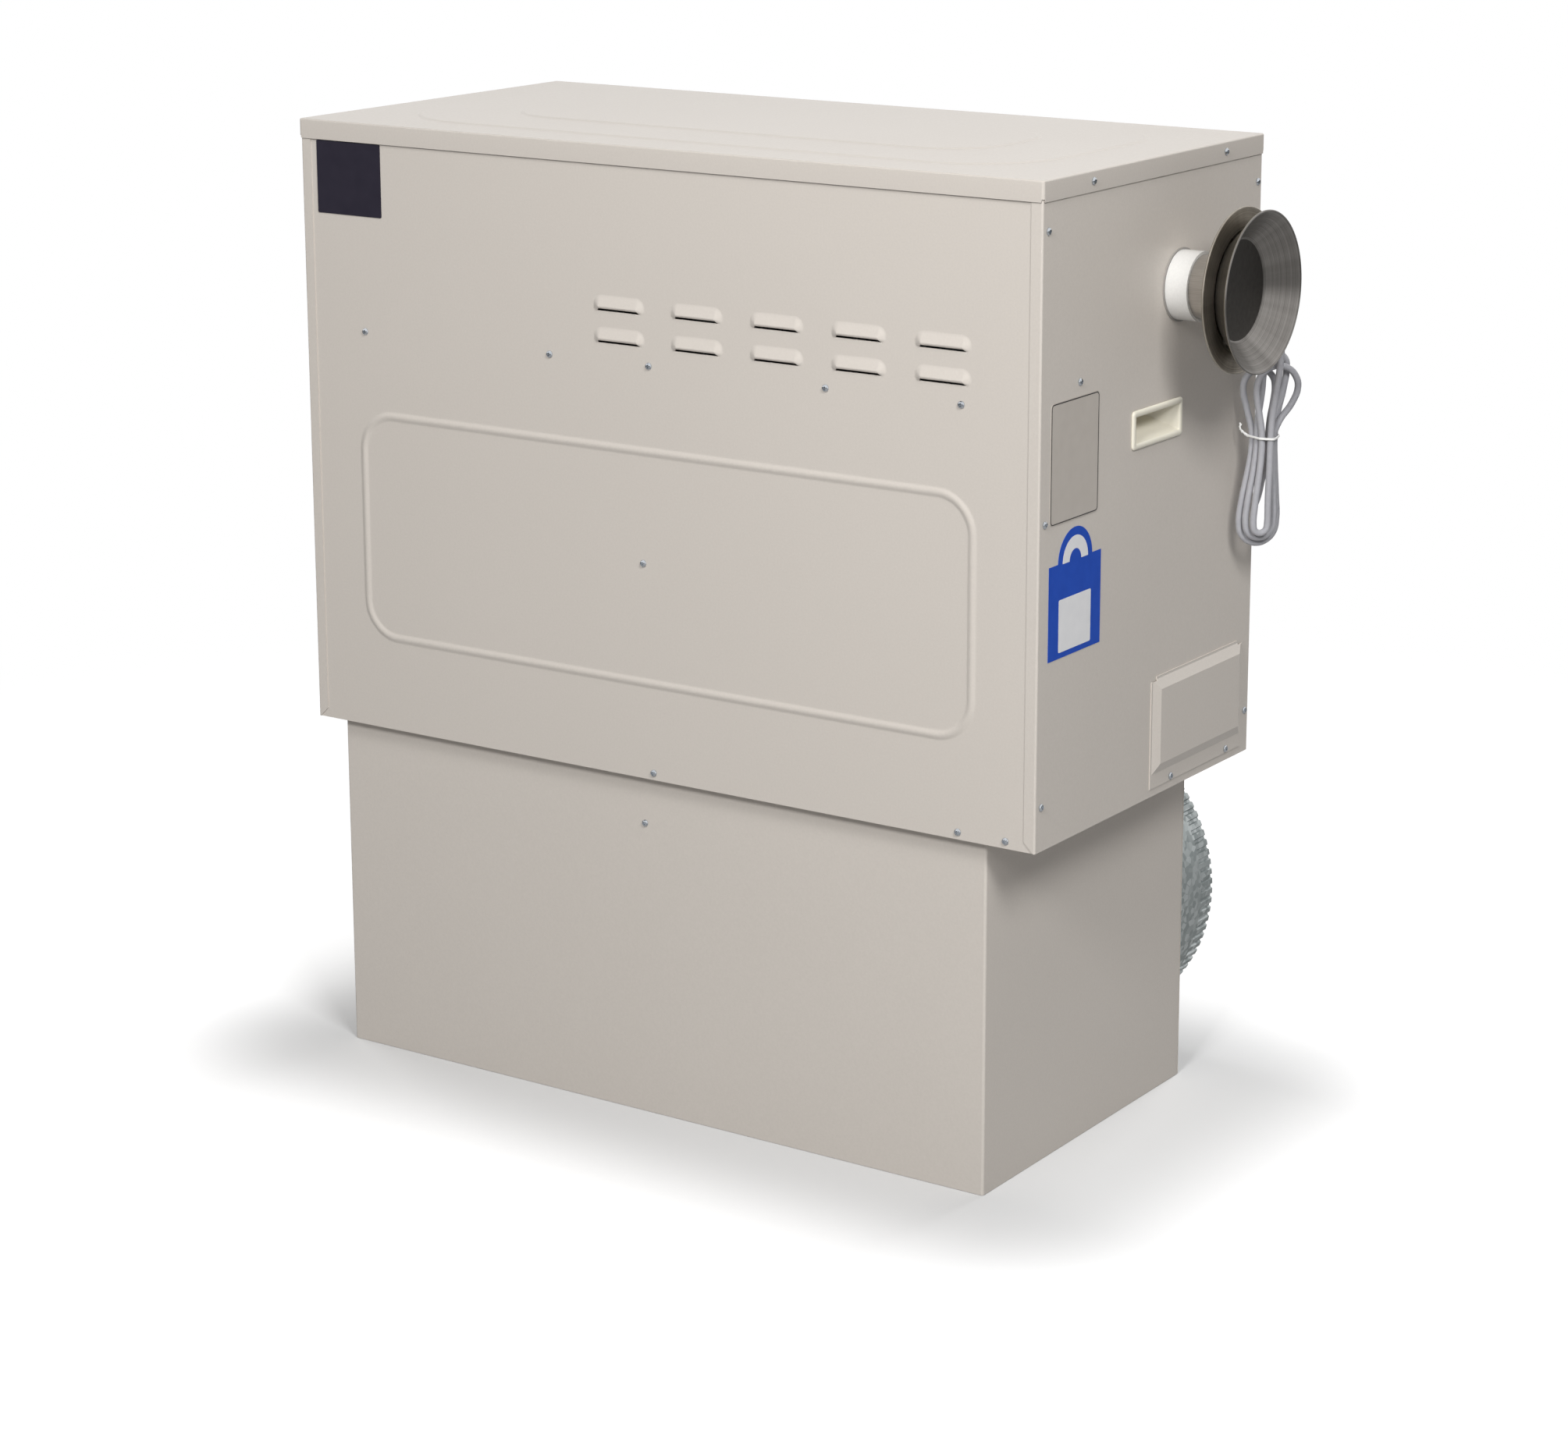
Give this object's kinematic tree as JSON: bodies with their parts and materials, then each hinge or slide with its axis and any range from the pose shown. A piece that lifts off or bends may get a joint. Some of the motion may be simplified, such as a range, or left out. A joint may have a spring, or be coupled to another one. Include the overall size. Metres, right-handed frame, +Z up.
{
  "type": "forced air gas furnace",
  "caption": "Coated steel warm air furnace on a duct box, with louvred front, pressed lid, hand-holds, round rear duct collars, a dished side flue terminal and a tied mains cord",
  "frame": {"origin": "on the floor, on the underside of the duct box's floor sheet, below the middle of the casing", "axes": "X along the front from left to right, -Y out of the front panel, Z up"},
  "size_m": [1.073, 0.5383, 1.1002],
  "materials": {
    "coated_steel": "warm grey powder coat, satin",
    "lid_coat": "pale grey powder coat, satin",
    "galvanised": "galvanised sheet",
    "stainless": "brushed stainless steel",
    "zinc": "zinc plated",
    "white_paint": "white enamel",
    "black_rubber": "matt",
    "black_plastic": "fine texture",
    "cream_plastic": "moulded, satin",
    "navy_plate": "dark navy, blank",
    "pale_label": "blank printed film",
    "blue_label": "blank coloured film",
    "cast_alloy": "die cast",
    "black_enamel": "black enamel",
    "ceramic": "white ceramic",
    "circuit_board": "green laminate",
    "red_plastic": "moulded",
    "cord_grey": "grey PVC sheath",
    "tie_white": "white coated wire",
    "plug_grey": "moulded grey PVC"
  },
  "bodies": {
    "casing": {"lid": "lid_coat", "front_panel": "coated_steel", "side_panel_right": "coated_steel", "side_panel_left": "coated_steel", "back_panel": "coated_steel", "base_tray": "coated_steel", "shelf": "galvanised", "divider": "galvanised", "badge_plate": "navy_plate", "notice_plate": "pale_label", "rating_plate": "blue_label", "handle_right": "cream_plastic", "handle_left": "cream_plastic", "service_cover": "coated_steel", "casing_screws": "zinc", "plenum_wrapper": "coated_steel", "plenum_back": "coated_steel", "plenum_floor": "coated_steel", "plenum_divider": "galvanised", "return_collar": "galvanised", "supply_collar": "galvanised", "flue_seal": "black_rubber", "flue_collar": "white_paint", "flue_pipe": "stainless", "flue_dish_inner": "stainless", "flue_dish_outer": "stainless", "flue_spacers": "stainless", "heat_exchanger": "stainless", "burner_box": "galvanised", "burners": "stainless", "igniter": "ceramic", "flame_sensor": "ceramic", "collector_box": "galvanised", "draught_fan_housing": "black_enamel", "draught_fan_motor": "black_enamel", "gas_manifold": "black_enamel", "gas_valve": "cast_alloy", "gas_inlet_pipe": "black_enamel", "overheat_switch": "black_plastic", "pressure_switch": "black_plastic", "control_box": "galvanised", "control_cover": "coated_steel", "control_board": "circuit_board", "transformer": "black_enamel", "blower_housing": "galvanised", "blower_motor": "black_enamel", "motor_bracket": "galvanised", "cord_gland": "black_plastic", "cord_lead": "cord_grey", "cord_hank": "cord_grey", "cord_tie": "tie_white", "cord_tail": "cord_grey", "power_plug": "plug_grey"},
    "blower_rotor": {"blower_wheel": "galvanised", "blower_shaft": "zinc"},
    "draught_fan_rotor": {"draught_fan_wheel": "cast_alloy"},
    "gas_knob": {"gas_valve_knob": "black_plastic"},
    "service_push": {"service_button": "red_plastic"},
    "reset_push": {"reset_button": "red_plastic"}
  },
  "joints": [
    {"name": "blower_spin", "type": "hinge", "parent": "casing", "child": "blower_rotor", "pos_m": [-0.257, 0, 0.643], "axis": [0, 1, 0], "continuous": true},
    {"name": "draught_fan_spin", "type": "hinge", "parent": "casing", "child": "draught_fan_rotor", "pos_m": [0.334, 0.0013, 0.9545], "axis": [0, 0, 1], "continuous": true},
    {"name": "gas_knob_turn", "type": "hinge", "parent": "casing", "child": "gas_knob", "pos_m": [-0.086, -0.016, 1.0377], "axis": [0, 0, 1], "range_deg": [0, 90]},
    {"name": "service_button_press", "type": "slide", "parent": "casing", "child": "service_push", "axis": [0, 0, -1], "range_m": [0, 0.0015], "stiffness_N_per_m": 500, "springref_m": -0.002},
    {"name": "reset_button_press", "type": "slide", "parent": "casing", "child": "reset_push", "axis": [1, 0, 0], "range_m": [0, 0.0015], "stiffness_N_per_m": 500, "springref_m": -0.002}
  ]
}
